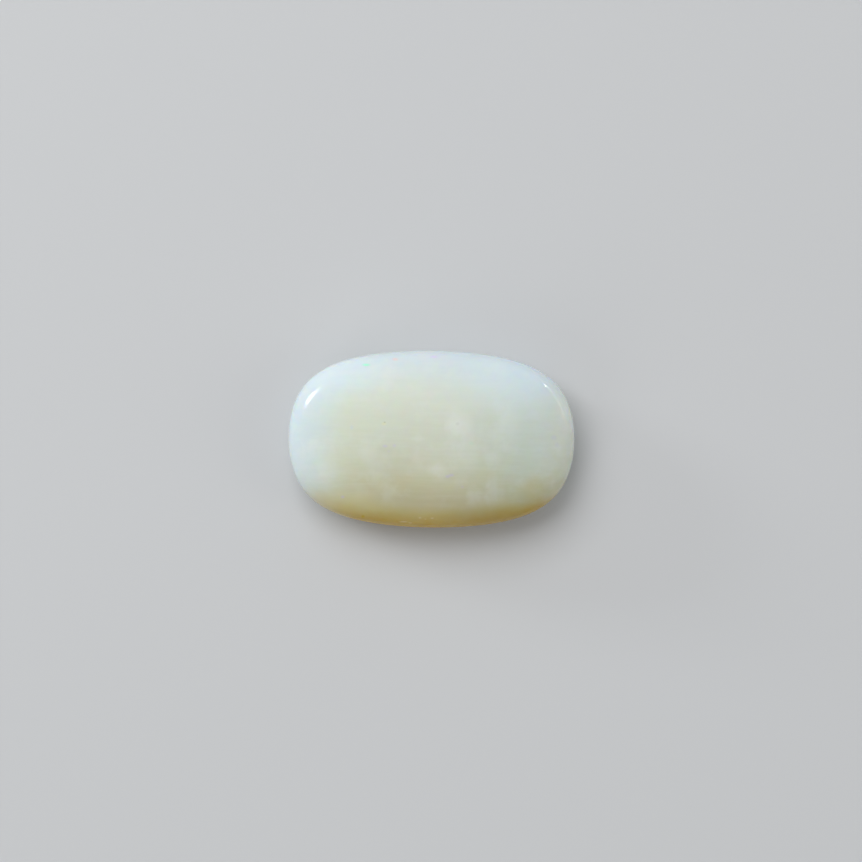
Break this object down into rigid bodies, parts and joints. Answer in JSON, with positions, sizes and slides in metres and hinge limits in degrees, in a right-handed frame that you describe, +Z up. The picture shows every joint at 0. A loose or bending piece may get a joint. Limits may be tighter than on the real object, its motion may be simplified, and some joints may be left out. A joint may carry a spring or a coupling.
{
  "type": "polished opal cabochon",
  "caption": "Polished milky opal cabochon: a long cushion-shaped oval with a domed face, a rounded girdle and a flat back to rest on or to set.",
  "frame": {"origin": "centre of the flat back, on the surface that the stone rests on", "axes": "+X along the stone's length, +Y across it, +Z up out of the domed face"},
  "size_m": [0.017, 0.0106, 0.0048],
  "materials": {
    "milky_opal": "polished, milky and translucent, bluish white at the rim and honey yellow along one long edge"
  },
  "bodies": {
    "root": {"opal_cabochon": "milky_opal"}
  },
  "joints": []
}
